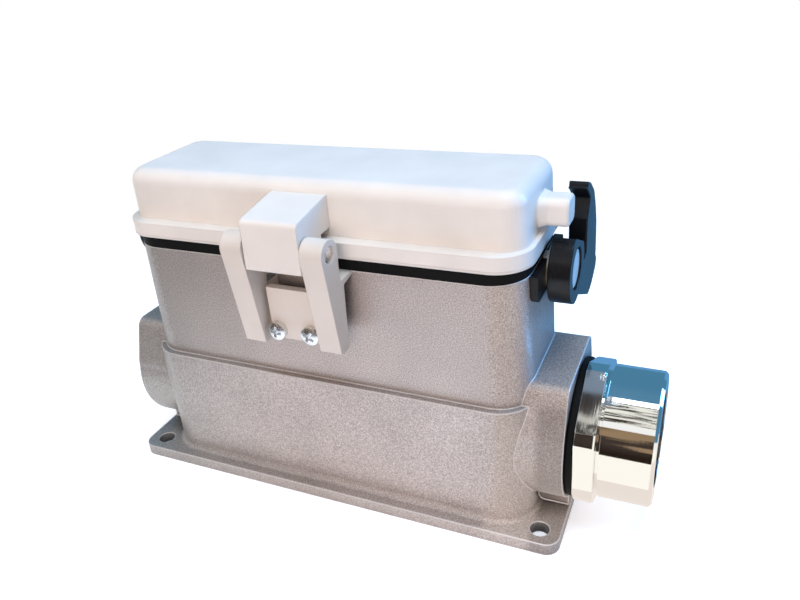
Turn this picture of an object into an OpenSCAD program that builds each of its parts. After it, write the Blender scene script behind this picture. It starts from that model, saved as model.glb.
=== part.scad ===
/* [Contact insert] */
// Length of the contact insert's fixing plate
insert_l = 111; // [105:0.5:120]
// Width of the contact insert's fixing plate
insert_w = 34; // [33:0.25:38]
// Number of contacts in each of the two rows
row_count = 12; // [6:1:12]
// Room between the last contact and the end of the fixing plate
row_end_room = 13.5; // [12:0.5:16]
// Distance between the two rows
row_span = 12; // [11:0.2:13]
// Radius of a contact
contact_r = 2.3; // [1.8:0.1:2.5]
// Depth of the cast ledges that carry the insert, below the metal rim
insert_depth = 19.4; // [18:0.2:22]
// Drop of the insert's top below the metal rim
insert_drop = 1.4; // [0.6:0.2:2]

/* [Housing] */
// Wall thickness of the casting
wall = 3; // [2.6:0.1:3.4]
// Room between the insert's plate and the housing wall, at each end
end_play = 1.9; // [1.5:0.1:2.4]
// Room between the insert's plate and the housing wall, at each side
side_play = 1.1; // [1:0.1:1.6]
// Height of the metal rim
rim_z = 77.4; // [76:0.2:80]
// Height of the ledge between lower and upper body
ledge_z = 41.2; // [39:0.2:43]
// Reach of the lower body beyond the upper one, at each end
end_step = 2.3; // [1.6:0.1:3]
// Reach of the lower body beyond the upper one, at each side
side_step = 2.1; // [1.2:0.1:3]
// Thickness of the mounting flange
flange_t = 3.8; // [3:0.2:5]
// Reach of the flange beyond the lower body, at each end
flange_reach_x = 9.3; // [9.2:0.1:12]
// Reach of the flange beyond the lower body, at each side
flange_reach_y = 4.3; // [4:0.1:6]
// Distance of the mounting holes from the flange's ends
hole_inset_x = 6; // [5.5:0.1:6.5]
// Distance of the mounting holes from the flange's sides
hole_inset_y = 5.5; // [5.2:0.1:6]
// Diameter of the mounting holes
hole_d = 5.5; // [4.5:0.1:6]
// Radius of the fillet where the body stands on the flange
foot_fillet_r = 1.8; // [1:0.1:2.4]

/* [Seal and cover] */
// Height of the black seal that shows between rim and cover
seal_t = 3.4; // [3:0.1:4]
// Reach of the cover's lip beyond the rim, at each end
lip_over_x = 1.25; // [0.8:0.05:1.5]
// Reach of the cover's lip beyond the rim, at each side
lip_over_y = 0.75; // [0.5:0.05:1.2]
// Thickness of the cover's lip
lip_t = 4.4; // [4:0.1:5]
// Set-back of the dome from the lip, at each end
dome_in_x = 1.35; // [1:0.05:2]
// Set-back of the dome from the lip, at each side
dome_in_y = 3.95; // [3.4:0.05:4.6]
// Height of the dome above the lip
dome_h = 14.4; // [13:0.2:15]
// Edge radius of the dome's top
dome_edge_r = 4.3; // [3:0.1:5]
// Wall thickness of the cover
cover_wall = 2.4; // [2:0.1:3]
// Width of the locking peg at each end of the cover
peg_w = 8; // [7:0.1:8.4]
// Height of the locking peg
peg_h = 7.5; // [6.6:0.1:7.6]
// Reach of the locking peg beyond the dome
peg_l = 7.3; // [6:0.1:8]

/* [Hinge] */
// Reach of the hinge axis beyond the rim's side
hinge_reach = 9.9; // [9.6:0.1:10.4]
// Height of the hinge axis above the top of the lip
hinge_rise = 0.75; // [0.4:0.05:1]
// Diameter of the hinge pin
pin_d = 2.8; // [2.4:0.1:3]
// Diameter of the spring's wire
wire_d = 0.6; // [0.4:0.05:0.7]
// Number of turns of the spring
coil_count = 14; // [8:1:18]
// Width of the cover's hinge block
block_w = 16.6; // [16:0.1:18]
// Thickness of each bracket arm
arm_t = 6.4; // [5:0.1:7]
// Distance from the rim's side to the front of the bracket's plate
plate_reach = 7.9; // [6.5:0.1:8.2]
// Distance between the two bracket screws
screw_span = 10.4; // [10:0.1:10.8]
// Distance of the bracket screws below the metal rim
screw_drop = 16.4; // [16:0.1:16.8]

/* [Locking lever] */
// Offset of the lever's pivot from the middle plane
pivot_y = 1.5; // [1:0.1:2]
// Distance of the lever's pivot below the metal rim
pivot_drop = 3.5; // [3.2:0.1:3.8]
// Reach of the lever's outer face beyond the rim's end
lever_reach = 8.8; // [8.4:0.1:9.4]
// Thickness of each lever arm
lever_t = 5; // [4.6:0.1:5.2]
// Radius of the lever's round eye
eye_r = 9.4; // [9:0.1:9.8]
// Radius of the pivot rivet
rivet_r = 4; // [3.6:0.1:4.2]

/* [Cable gland] */
// Height of the cable entry's axis
gland_z = 25.6; // [25:0.1:26.4]
// Reach of the bosses' outer faces beyond the lower body
boss_reach = 8.8; // [8:0.1:9.2]
// Radius of the bosses
boss_r = 21; // [20.4:0.1:21.4]
// Radius of the seal ring under the gland
ring_r = 20.4; // [19.8:0.1:20.6]
// Radius over the corners of the gland's hexagon
hex_r = 21.2; // [20.8:0.1:21.8]
// Thickness of the gland's hexagon
hex_t = 5.4; // [5:0.1:6]
// Outer radius of the bright gland sleeve
sleeve_r = 18.8; // [18.4:0.1:19.2]
// Length of the gland sleeve
sleeve_l = 13.9; // [12:0.1:16]
// Radius of the threaded spigot in the housing
spigot_r = 16; // [15.4:0.1:16.2]

/* [Hidden] */
$fn = 96;
e = 0.01;                // overlap that fuses two shapes of one solid
cut = 1;                 // a cutting shape runs on by this much

rim_l = insert_l + 2*(wall + end_play);
rim_w = insert_w + 2*(wall + side_play);
lower_l = rim_l + 2*end_step;
lower_w = rim_w + 2*side_step;
flange_l = lower_l + 2*flange_reach_x;
flange_w = lower_w + 2*flange_reach_y;
hole_span_x = flange_l - 2*hole_inset_x;
hole_span_y = flange_w - 2*hole_inset_y;
flange_r = 4;            // corner radius of the flange
lower_r = 11;            // plan corner radius of the lower body
rim_r = 10.2;            // plan corner radius of the upper body
body_draft = 1.3;        // each end of the upper body leans out by this much at the ledge
floor_t = 4.4;           // floor of the casting
seal_gap = 0.05;         // the lip stands this far above the relaxed seal
groove_w = 1.2;          // groove in the rim that holds the seal's foot
groove_depth = 1.2;
groove_out = (wall - groove_w)/2;
groove_in = (wall + groove_w)/2;

lip_l = rim_l + 2*lip_over_x;
lip_w = rim_w + 2*lip_over_y;
lip_r = 9.9;             // plan corner radius of the lip
dome_l = lip_l - 2*dome_in_x;
dome_w = lip_w - 2*dome_in_y;
dome_r = 6.3;            // plan corner radius of the dome
rim_top = rim_z + seal_t;
lip_z = rim_top + seal_gap;
dome_z = lip_z + lip_t;
cover_top = dome_z + dome_h;
peg_drop = 5.45;         // the peg's top lies this far below the cover's
peg_top = cover_top - peg_drop;
peg_flare = 2;           // the peg's root is wider by this much at each side
flare_l = 2.2;
peg_round = 2.2;

pin_r = pin_d/2;
run_gap = 0.06;          // radial clearance where a piece turns on its pin
side_gap = 0.3;          // clearance beside pieces that move past each other
hinge_y = -rim_w/2 - hinge_reach;
hinge_z = dome_z + hinge_rise;
arm_x = block_w/2 + side_gap;
bracket_x = arm_x + arm_t;
arm_eye_r = 4;           // radius of the bracket arms round the hinge pin
arm_drop = 28.7;         // the arms end this far below the hinge axis
plate_y = -rim_w/2 - plate_reach;
plate_top_drop = 3.8;    // the plate's top lies this far below the metal rim
plate_foot = 1;          // the plate ends this far above the arms
screw_z = rim_z - screw_drop;
screw_r = 1.5;
screw_head_r = 2.7;
screw_head_h = 2.3;
spring_play = 0.1;       // between the pin and the spring's turns
coil_r = pin_r + spring_play + wire_d/2;
pocket_r = coil_r + wire_d/2 + side_gap;
pocket_w = 10.8;
block_front = 3.4;       // the block's front lies this far before the hinge axis
block_front_h = 8.3;     // and its front edge this far above it
block_top_h = 10.6;      // the block's back edge lies this far above the hinge axis
block_back = 12;         // and this far behind it
block_wall = 1.1;
window_l = 5;            // openings through the block's sides, above the lip
window_h = 2.4;
plate_t = 2.2;
plate_slot = 1.3;        // between the plate's edges and the arms
plate_pocket = 9;        // depth of the hollow behind the plate

pivot_z = rim_z - pivot_drop;
lever_x = rim_l/2 + lever_reach;
hub_t = 5.8;             // thickness of the lever's eye
neck_x = lever_x - hub_t;
hub_cut = 7.4;           // the sloping flat behind the eye's top lies this far from the pivot
hub_slope = 25;
washer_t = 0.8;
washer_r = 6.4;
plate_x = neck_x - 2*washer_t/2 - 0.2;
pivot_plate_w = 28.8;
pivot_plate_h = 7.7;
nose_gap = 0.25;         // the lever's hook clears the peg's top corner by this much
nose_in = norm([peg_w/2 + pivot_y - peg_round, peg_top - pivot_z - peg_round]) + peg_round + nose_gap;
nose_t = 2;
rivet_head_r = 5.2;
rivet_head_gap = 0.6;    // round the rivet's head, in the lever's recess
rivet_sunk = 0.5;        // the head lies this far inside the lever's face
rivet_head_t = 1.2;
rivet_neck_r = 1.6;      // the rivet's thinner end in the housing wall
rivet_tail_r = 2.8;
rivet_tail_t = 1;

boss_x = lower_l/2 + boss_reach;
boss_top = ledge_z + 5.7;
boss_leg = 10;           // half width of the boss's leg on the flange
ring_t = 2.2;
ring_x = boss_x + ring_t;
hex_x = ring_x + hex_t;
collar_t = 1;            // turned collar between hexagon and sleeve
collar_r = 17.2;
sleeve_x = hex_x + collar_t;
sleeve_end_x = sleeve_x + sleeve_l;
body_bore_r = 11;
inner_spigot_r = 15.4;
sleeve_lip_t = 3;
sleeve_bore_r = 13.4;
sleeve_edge = 0.8;
thrust_t = 1;
grommet_t = 4;
spigot_in = 0.5;         // the spigot ends this far inside the wall

insert_z = rim_z - insert_depth;
insert_top = rim_z - insert_drop;
fix_inset = 3.5;         // fixing screws, from the plate's ends and sides
fix_x = insert_l/2 - fix_inset;
fix_y = insert_w/2 - fix_inset;
ledge_in = 7.5;          // the cast ledges reach this far under the plate
ledge_h = 7;
contact_pitch = (insert_l - 2*row_end_room)/row_count;
block_l = insert_l - 2*10.5;
block_side = 3.5;
insert_foot = insert_z - 14;
contact_foot = insert_z - 11;
terminal_z = insert_z - 7;
insert_neck_z = insert_top - 9;
earth_t = 1.2;
earth_in = 10;           // the earth plates reach this far from the insert's ends
earth_tab = 7;
earth_post = [2, 10, 12];
earth_screw_h = 8;       // the earth screws above the insert's plate
earth_head = [2.4, 1.6, 4];    // head radius, head height, length
fix_hole_r = 1.7;
fix_screw_r = 1.6;
fix_head_r = 2.8;

function unit(v) = v/norm(v);
function turn(a) = (a + 540) % 360 - 180;
// Points of a round corner of radius r at q, between its neighbours p and s
function corner(p, q, s, r, n) =
    let (a = unit(p - q), b = unit(s - q), h = acos(a*b)/2,
         c = q + unit(a + b)*r/sin(h), t0 = q + a*r/tan(h) - c, t1 = q + b*r/tan(h) - c,
         a0 = atan2(t0.y, t0.x), sweep = turn(atan2(t1.y, t1.x) - a0))
    [for (i = [0:n]) c + r*[cos(a0 + sweep*i/n), sin(a0 + sweep*i/n)]];
// Outline through pts = [[x, y, corner radius], ...]
function outline(pts, n = 6) = let (m = len(pts)) [for (i = [0:m - 1])
    let (q = pts[i], p = pts[(i + m - 1) % m], s = pts[(i + 1) % m])
    each (q.z == 0 ? [[q.x, q.y]] : corner([p.x, p.y], [q.x, q.y], [s.x, s.y], q.z, n))];
function ring_arc(r, a0, a1, n) = [for (i = [0:n]) let (a = a0 + (a1 - a0)*i/n) r*[cos(a), sin(a)]];

module plan(l, w, r) {
    square([l, w - 2*r], center = true);
    square([l - 2*r, w], center = true);
    for (x = [-1, 1], y = [-1, 1]) translate([x*(l/2 - r), y*(w/2 - r)]) circle(r);
}
module slab(l, w, r, z0, z1) translate([0, 0, z0]) linear_extrude(z1 - z0) plan(l, w, r);
// Extrudes an outline drawn in the Y-Z plane from x0 to x1
module along_x(x0, x1) translate([x0, 0, 0]) rotate([90, 0, 90]) linear_extrude(x1 - x0) children();
module rod_x(r, x0, x1, y = 0, z = 0) translate([x0, y, z]) rotate([0, 90, 0]) cylinder(r = r, h = x1 - x0);
module rod_y(r, y0, y1, x, z) translate([x, y1, z]) rotate([90, 0, 0]) cylinder(r = r, h = y1 - y0);
module rod_z(r, z0, z1, x = 0, y = 0) translate([x, y, z0]) cylinder(r = r, h = z1 - z0);
module both_ends() { children(); mirror([1, 0, 0]) children(); }

module boss_shape() {
    translate([0, gland_z]) circle(boss_r);
    polygon(outline([[-boss_leg, 0, 0], [boss_leg, 0, 0], [boss_leg, gland_z/2, 0], [boss_r, gland_z, 0],
        [boss_r - 1, boss_top - 13.8, 8], [boss_r - 3.8, boss_top - 5.3, 6], [boss_r - 5.6, boss_top, 3.5],
        [5.6 - boss_r, boss_top, 3.5], [3.8 - boss_r, boss_top - 5.3, 6], [1 - boss_r, boss_top - 13.8, 8],
        [-boss_r, gland_z, 0], [-boss_leg, gland_z/2, 0]]));
}
module upper_body() {
    hull() {
        slab(rim_l, rim_w, rim_r, rim_z - e, rim_z, $fn = 72);
        slab(rim_l + 2*body_draft, rim_w, rim_r, ledge_z - 1, ledge_z, $fn = 72);
    }
}
// A hollow fillet round the foot of the body, radius c
module foot_fillet(l, w, r, c) {
    cove = concat([[0, 0]], [for (a = [0:15:90]) [c - c*sin(a), c - c*cos(a)]]);
    translate([0, 0, flange_t - e]) for (q = [0:3]) rotate(90*q) {
        far = (q % 2 == 0 ? l : w)/2;
        half = (q % 2 == 0 ? w : l)/2 - r;
        translate([far - e, half, 0]) rotate([90, 0, 0]) linear_extrude(2*half) polygon(cove);
        translate([far - r, half, 0]) rotate_extrude(angle = 90) translate([r - e, 0]) polygon(cove);
    }
}
module base_housing() color("silver") difference() {
    union() {
        slab(flange_l, flange_w, flange_r, 0, flange_t);
        slab(lower_l, lower_w, lower_r, 1, ledge_z);
        foot_fillet(lower_l, lower_w, lower_r, foot_fillet_r);
        upper_body();
        along_x(-boss_x, boss_x) intersection() {
            boss_shape();
            translate([-boss_r, 1]) square([2*boss_r, boss_top]);
        }
    }
    difference() {
        union() {
            slab(lower_l - 2*wall, lower_w - 2*wall, lower_r - wall, floor_t, ledge_z - wall);
            slab(rim_l - 2*wall, rim_w - 2*wall, rim_r - wall, floor_t + e, rim_z + cut);
        }
        both_ends() translate([insert_l/2 - ledge_in, -rim_w/2, insert_z - ledge_h])
            cube([ledge_in + end_play + cut, rim_w, ledge_h]);
    }
    difference() {
        slab(rim_l - 2*groove_out, rim_w - 2*groove_out, rim_r - groove_out, rim_z - groove_depth, rim_z + cut);
        slab(rim_l - 2*groove_in, rim_w - 2*groove_in, rim_r - groove_in, rim_z - groove_depth - cut, rim_z + 2*cut);
    }
    for (x = [-1, 1], y = [-1, 1]) {
        rod_z(hole_d/2, -cut, flange_t + 3*cut, x*hole_span_x/2, y*hole_span_y/2);
        rod_z(fix_screw_r, insert_z - ledge_h - cut, insert_z + cut, x*fix_x, y*fix_y);
    }
    rod_x(spigot_r, lower_l/2 - wall - 5, boss_x + cut, 0, gland_z);
    both_ends() rod_x(rivet_neck_r, rim_l/2 - wall - 2, rim_l/2 + 5, pivot_y, pivot_z);
    for (x = [-1, 1]) rod_y(screw_r, -rim_w/2 - cut, -rim_w/2 + wall + cut, x*screw_span/2, screw_z);
}
module rim_seal() color("black") difference() {
    union() {
        slab(rim_l, rim_w, rim_r, rim_z, rim_top);
        slab(rim_l - 2*groove_out, rim_w - 2*groove_out, rim_r - groove_out, rim_z - groove_depth, rim_z + cut);
    }
    slab(rim_l - 2*wall, rim_w - 2*wall, rim_r - wall, rim_z, rim_top + cut);
    slab(rim_l - 2*groove_in, rim_w - 2*groove_in, rim_r - groove_in, rim_z - groove_depth - cut, rim_z);
}

module arm_side() {
    foot_z = hinge_z - arm_drop;
    wall_y = -rim_w/2;
    polygon(outline([[hinge_y + 4, foot_z, 0], [hinge_y + 5.2, rim_z - 1.8, 0.6], [wall_y, rim_z - 1, 0],
        [wall_y, rim_z - 0.2, 0], [hinge_y + 3.4, rim_z - 0.2, 0.8], [hinge_y + arm_eye_r, hinge_z, 0],
        [hinge_y, hinge_z + arm_eye_r - e, 0], [hinge_y - arm_eye_r, hinge_z, 0], [hinge_y - 0.2, foot_z, 0.5]]));
}
module hinge_bracket() color("linen") difference() {
    plate_foot_z = hinge_z - arm_drop + plate_foot;
    union() {
        both_ends() along_x(arm_x, bracket_x) {
            arm_side();
            translate([hinge_y, hinge_z]) circle(arm_eye_r);
        }
        translate([-arm_x - e, plate_y, plate_foot_z])
            cube([2*(arm_x + e), plate_reach, rim_z - plate_top_drop - plate_foot_z]);
    }
    rod_x(pin_r, -bracket_x - cut, bracket_x + cut, hinge_y, hinge_z);
    both_ends() rod_x(pin_r + 0.9, bracket_x - 1.1, bracket_x + cut, hinge_y, hinge_z);
    for (x = [-1, 1]) rod_y(screw_r, plate_y - cut, -rim_w/2 + cut, x*screw_span/2, screw_z);
    both_ends() translate([arm_x - plate_slot, plate_y - cut, plate_foot_z - cut])
        cube([plate_slot, plate_t + cut, arm_drop]);
    translate([-arm_x, plate_y + plate_t, rim_z - plate_top_drop - plate_pocket])
        cube([2*arm_x, plate_reach - plate_t + cut, plate_pocket + cut]);
}
module pan_screw(head_r, head_h, shank_r, length) difference() {
    union() {
        intersection() {
            cylinder(r = head_r, h = head_h);
            translate([0, 0, head_h - 2*head_r]) sphere(2*head_r);
        }
        rotate([180, 0, 0]) cylinder(r = shank_r, h = length);
    }
    for (a = [0, 90]) rotate(a) translate([-head_r*0.6, -0.4, head_h - 1]) cube([head_r*1.2, 0.8, 2]);
}
module bracket_screws() color("lightsteelblue") for (x = [-1, 1]) translate([x*screw_span/2, plate_y, screw_z])
    rotate([90, 12*x + 20, 0]) pan_screw(screw_head_r, screw_head_h, screw_r, plate_reach + wall - 0.8);
module hinge_pin() color("gray") {
    rod_x(pin_r, -bracket_x + 0.4, bracket_x - 0.4, hinge_y, hinge_z);
    both_ends() rod_x(pin_r + 0.7, bracket_x - 1.1, bracket_x - 0.5, hinge_y, hinge_z);
}
module hinge_spring() color("dimgray") translate([0, hinge_y, hinge_z]) rotate([0, 90, 0])
    for (i = [0:coil_count - 1]) translate([0, 0, (i - (coil_count - 1)/2)*wire_d*0.92])
        rotate_extrude($fn = 48) translate([coil_r, 0]) circle(wire_d/2, $fn = 16);

module dome(l, w, r, edge_r, z0, z1) hull() {
    slab(l, w, r, z0, z0 + 1, $fn = 48);
    for (x = [-1, 1], y = [-1, 1]) translate([x*(l/2 - r - 0.4), y*(w/2 - r), z1 - edge_r])
        rotate_extrude($fn = 32) {
            translate([r - edge_r, 0]) intersection() {
                circle(edge_r, $fn = 32);
                square(edge_r);
            }
            square([r - edge_r + e, edge_r]);
        }
}
module block_side() polygon(outline([[-dome_w/2 + cut, lip_z, 0], [hinge_y - block_front, lip_z, 0.5],
    [hinge_y - block_front + 0.5, hinge_z + block_front_h, 1.5], [hinge_y + block_back, hinge_z + block_top_h, 2],
    [-dome_w/2 + 4, hinge_z + block_top_h, 0], [-dome_w/2 + 4, hinge_z + 4, 0], [-dome_w/2 + cut, hinge_z + 4, 0]]));
module block_pocket() {
    back_y = -dome_w/2 - block_wall;
    polygon(outline([[hinge_y - 0.3, lip_z - cut, 0], [hinge_y - 0.3, hinge_z + 4, 0.5],
        [hinge_y + 4, hinge_z + block_front_h - 1.4, 1], [back_y, hinge_z + block_top_h - 3.2, 1],
        [back_y, lip_z - cut, 0]]));
}
module peg() {
    root = dome_l/2 - 1.5;
    low = peg_top - peg_h;
    hull() {
        along_x(root, root + 1) translate([0, low + peg_h/2])
            plan(peg_w + 2*peg_flare, peg_h + 0.8, 2*peg_round - 1, $fn = 32);
        along_x(root + 1.5 + flare_l, root + 2 + flare_l) translate([0, low + peg_h/2])
            plan(peg_w - 0.6, peg_h - 0.6, peg_round - 0.3, $fn = 32);
    }
    hull() {
        along_x(root + 1, root + 1 + peg_l) translate([0, low + peg_h/2])
            plan(peg_w, peg_h, peg_round, $fn = 32);
        along_x(root + 1, root + 1.5 + peg_l) translate([0, low + peg_h/2])
            plan(peg_w - 1, peg_h - 1, peg_round - 0.5, $fn = 32);
    }
}
module cover() color("ivory") difference() {
    union() {
        slab(lip_l, lip_w, lip_r, lip_z, dome_z);
        dome(dome_l, dome_w, dome_r, dome_edge_r, lip_z + 1, cover_top);
        along_x(-block_w/2, block_w/2) block_side();
        both_ends() peg();
    }
    dome(dome_l - 2*cover_wall, dome_w - 2*cover_wall, dome_r - cover_wall, dome_edge_r - cover_wall,
        lip_z - 2*cut, cover_top - cover_wall);
    rod_x(pin_r + run_gap, -block_w, block_w, hinge_y, hinge_z);
    rod_x(pocket_r, -pocket_w/2, pocket_w/2, hinge_y, hinge_z);
    along_x(-pocket_w/2, pocket_w/2) block_pocket();
    along_x(-block_w/2 - cut, block_w/2 + cut) translate([-dome_w/2 - window_l, dome_z]) square([window_l, window_h]);
}

// Outline of a lever arm, with the pivot at the origin
module lever_side() {
    nose_out = nose_in + nose_t;
    polygon(concat(outline([[nose_out*cos(61.5), nose_out*sin(61.5), 0.9], [15.4, 18.1, 0], [21, 14.2, 5],
            [24.4, 9, 8], [27.1, 3, 8], [28.3, -4, 4], [28.6, -8.4, 1], [30.4, -10.2, 1.2], [29.6, -12.2, 1],
            [27, -13.8, 2], [23.5, -15.7, 3], [18.5, -16.6, 4], [3, -eye_r + 0.3, 0], [0, 0, 0], [9, -1.6, 2],
            [13, -1.6, 1.5], [12.6, 8.8, 1.5]]),
        ring_arc(nose_in, 42, 60, 6)));
}
module bail_side() polygon(outline([[23, -13.2, 2], [27.4, -12.4, 2], [27.9, -5, 1.8], [23, -4.6, 1.6]]));
module locking_lever() color("midnightblue") difference() {
    translate([0, pivot_y, pivot_z]) {
        both_ends() {
            along_x(lever_x - lever_t, lever_x) lever_side();
            along_x(neck_x, lever_x) intersection() {
                circle(eye_r);
                rotate(-hub_slope) translate([-2*eye_r, -2*eye_r]) square([4*eye_r, 2*eye_r + hub_cut]);
            }
        }
        along_x(-lever_x + lever_t/2, lever_x - lever_t/2) bail_side();
    }
    both_ends() {
        rod_x(rivet_r + run_gap, neck_x - cut, lever_x + cut, pivot_y, pivot_z);
        rod_x(rivet_head_r + rivet_head_gap, lever_x - rivet_sunk - rivet_head_t - 0.1, lever_x + cut, pivot_y, pivot_z);
    }
}
module pivot_plate() difference() {
    along_x(rim_l/2 - 0.5, plate_x) translate([pivot_y, rim_z - 0.3 - pivot_plate_h]) polygon(outline([
        [-pivot_plate_w/2, 0, 2.4], [pivot_plate_w/2, 0, 2.4], [pivot_plate_w/2, pivot_plate_h, 0],
        [-pivot_plate_w/2, pivot_plate_h, 0]]));
    upper_body();
    rod_x(rivet_r, 0, lever_x, pivot_y, pivot_z);
}
module pivot_plate_right() color("black") pivot_plate();
module pivot_plate_left() color("black") mirror([1, 0, 0]) pivot_plate();
module spring_washer() difference() {
    rod_x(washer_r, plate_x, plate_x + washer_t, pivot_y, pivot_z);
    rod_x(rivet_r, 0, lever_x, pivot_y, pivot_z);
}
module spring_washer_right() color("goldenrod") spring_washer();
module spring_washer_left() color("goldenrod") mirror([1, 0, 0]) spring_washer();
module pivot_rivet() {
    face = lever_x - rivet_sunk;
    rod_x(rivet_r, rim_l/2 + 0.3, face, pivot_y, pivot_z);
    rod_x(rivet_head_r, face - rivet_head_t, face, pivot_y, pivot_z);
    rod_x(rivet_neck_r, rim_l/2 - wall - rivet_tail_t, rim_l/2 + 1, pivot_y, pivot_z);
    rod_x(rivet_tail_r, rim_l/2 - wall - rivet_tail_t, rim_l/2 - wall, pivot_y, pivot_z);
}
module pivot_rivet_right() color("lightsteelblue") pivot_rivet();
module pivot_rivet_left() color("lightsteelblue") mirror([1, 0, 0]) pivot_rivet();

module tube_x(r, bore, x0, x1) difference() {
    rod_x(r, x0, x1, 0, gland_z);
    rod_x(bore, x0 - cut, x1 + cut, 0, gland_z);
}
module gland_seal_ring() color("black") tube_x(ring_r, spigot_r, boss_x, ring_x);
module gland_body() color("gainsboro") difference() {
    grommet_x = sleeve_end_x - sleeve_lip_t - thrust_t - grommet_t;
    union() {
        rod_x(spigot_r, lower_l/2 - wall - spigot_in, ring_x, 0, gland_z);
        translate([ring_x, 0, gland_z]) rotate([0, 90, 0]) rotate(4) cylinder(r = hex_r, h = hex_t, $fn = 6);
        rod_x(collar_r, hex_x - e, sleeve_x, 0, gland_z);
        rod_x(inner_spigot_r, sleeve_x - e, grommet_x, 0, gland_z);
    }
    rod_x(body_bore_r, 0, sleeve_end_x, 0, gland_z);
}
module gland_sleeve() color("gainsboro") difference() {
    translate([sleeve_x, 0, gland_z]) rotate([0, 90, 0]) union() {
        cylinder(r = sleeve_r, h = sleeve_l - sleeve_edge);
        translate([0, 0, sleeve_l - sleeve_edge - e])
            cylinder(r1 = sleeve_r, r2 = sleeve_r - sleeve_edge, h = sleeve_edge + e);
    }
    rod_x(inner_spigot_r, 0, sleeve_end_x - sleeve_lip_t, 0, gland_z);
    rod_x(sleeve_bore_r, 0, sleeve_end_x + cut, 0, gland_z);
}
module gland_grommet() color("black") tube_x(inner_spigot_r, 9,
    sleeve_end_x - sleeve_lip_t - thrust_t - grommet_t, sleeve_end_x - sleeve_lip_t - thrust_t);
module gland_thrust_ring() color("gainsboro")
    tube_x(inner_spigot_r, 12, sleeve_end_x - sleeve_lip_t - thrust_t, sleeve_end_x - sleeve_lip_t);

module at_contacts() for (i = [0:row_count - 1], y = [-1, 1])
    translate([(i - (row_count - 1)/2)*contact_pitch, y*row_span/2, 0]) children();
module contact_insert() color("darkgray") difference() {
    union() {
        slab(block_l, insert_w - 2*block_side, 2, insert_foot, insert_neck_z);
        slab(block_l - 3, insert_w - 2*block_side - 4.4, 2.4, insert_neck_z - 1, insert_top);
        slab(insert_l - 2*earth_tab - 0.1, insert_w - 4, 2, insert_z + earth_t, insert_z + earth_t + 3.8);
    }
    at_contacts() {
        rod_z(contact_r, contact_foot, insert_top + cut);
        rod_z(contact_r + 0.7, insert_foot - cut, contact_foot + e);
    }
    for (x = [-1, 1], y = [-1, 1]) rod_z(fix_head_r + 0.4, insert_z - 2, insert_top, x*fix_x, y*fix_y);
    for (i = [0:row_count - 1], y = [-1, 1]) rod_y(screw_r, min(y*row_span/2, y*insert_w/2),
        max(y*row_span/2, y*insert_w/2), (i - (row_count - 1)/2)*contact_pitch, terminal_z);
}
module socket_contacts() color("goldenrod") at_contacts() difference() {
    rod_z(contact_r, contact_foot, insert_top - 1.2);
    rod_z(contact_r - 1, insert_z + 2, insert_top);
}
module terminal_screws() color("lightsteelblue") for (i = [0:row_count - 1], y = [-1, 1])
    translate([(i - (row_count - 1)/2)*contact_pitch, y*(insert_w/2 - block_side - 0.3), terminal_z])
        rotate([-90*y, 0, 0]) difference() {
            rotate([180, 0, 0]) cylinder(r = screw_r, h = insert_w/2 - block_side - 0.3 - row_span/2 - contact_r);
            translate([-2, -0.25, -0.6]) cube([4, 0.5, 1]);
        }
module earth_plate() difference() {
    union() {
        intersection() {
            slab(insert_l, insert_w, 6, insert_z, insert_z + earth_t);
            translate([insert_l/2 - earth_in, -insert_w, insert_z - cut]) cube([2*earth_in, 2*insert_w, 3*cut]);
        }
        translate([insert_l/2 - earth_tab, -earth_post.y/2, insert_z + earth_t - 0.2]) cube(earth_post);
    }
    for (y = [-1, 1]) rod_z(fix_hole_r, insert_z - cut, insert_z + 2*earth_t, fix_x, y*fix_y);
    rod_x(screw_r, 0, insert_l, 0, insert_z + earth_screw_h);
}
module earth_plates() color("silver") both_ends() earth_plate();
module earth_screws() color("lightsteelblue") both_ends()
    translate([insert_l/2 - earth_tab + earth_post.x, 0, insert_z + earth_screw_h]) rotate([0, 90, 0])
        pan_screw(earth_head[0], earth_head[1], screw_r, earth_head[2]);
module insert_screws() color("lightsteelblue") for (x = [-1, 1], y = [-1, 1])
    translate([x*fix_x, y*fix_y, insert_z + earth_t]) pan_screw(fix_head_r, 2, fix_screw_r, ledge_h);

base_housing();
rim_seal();
hinge_bracket();
bracket_screws();
hinge_pin();
hinge_spring();
cover();
locking_lever();
pivot_plate_right();
pivot_plate_left();
spring_washer_right();
spring_washer_left();
pivot_rivet_right();
pivot_rivet_left();
gland_seal_ring();
gland_body();
gland_sleeve();
gland_grommet();
gland_thrust_ring();
contact_insert();
socket_contacts();
terminal_screws();
earth_plates();
earth_screws();
insert_screws();
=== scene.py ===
# %% [markdown]
# # A rectangular industrial connector, dressed for the studio
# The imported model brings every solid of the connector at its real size: a die-cast housing, a moulded cover
# on a sprung hinge, a two-armed locking lever and a bright cable gland. This lesson gives each of them its
# finish, adds the small forms that are easier to make here than in CAD, and sets up a plain studio.

# %% Load the frame
import math
import bpy
import bmesh
from mathutils import Matrix, Vector


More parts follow.
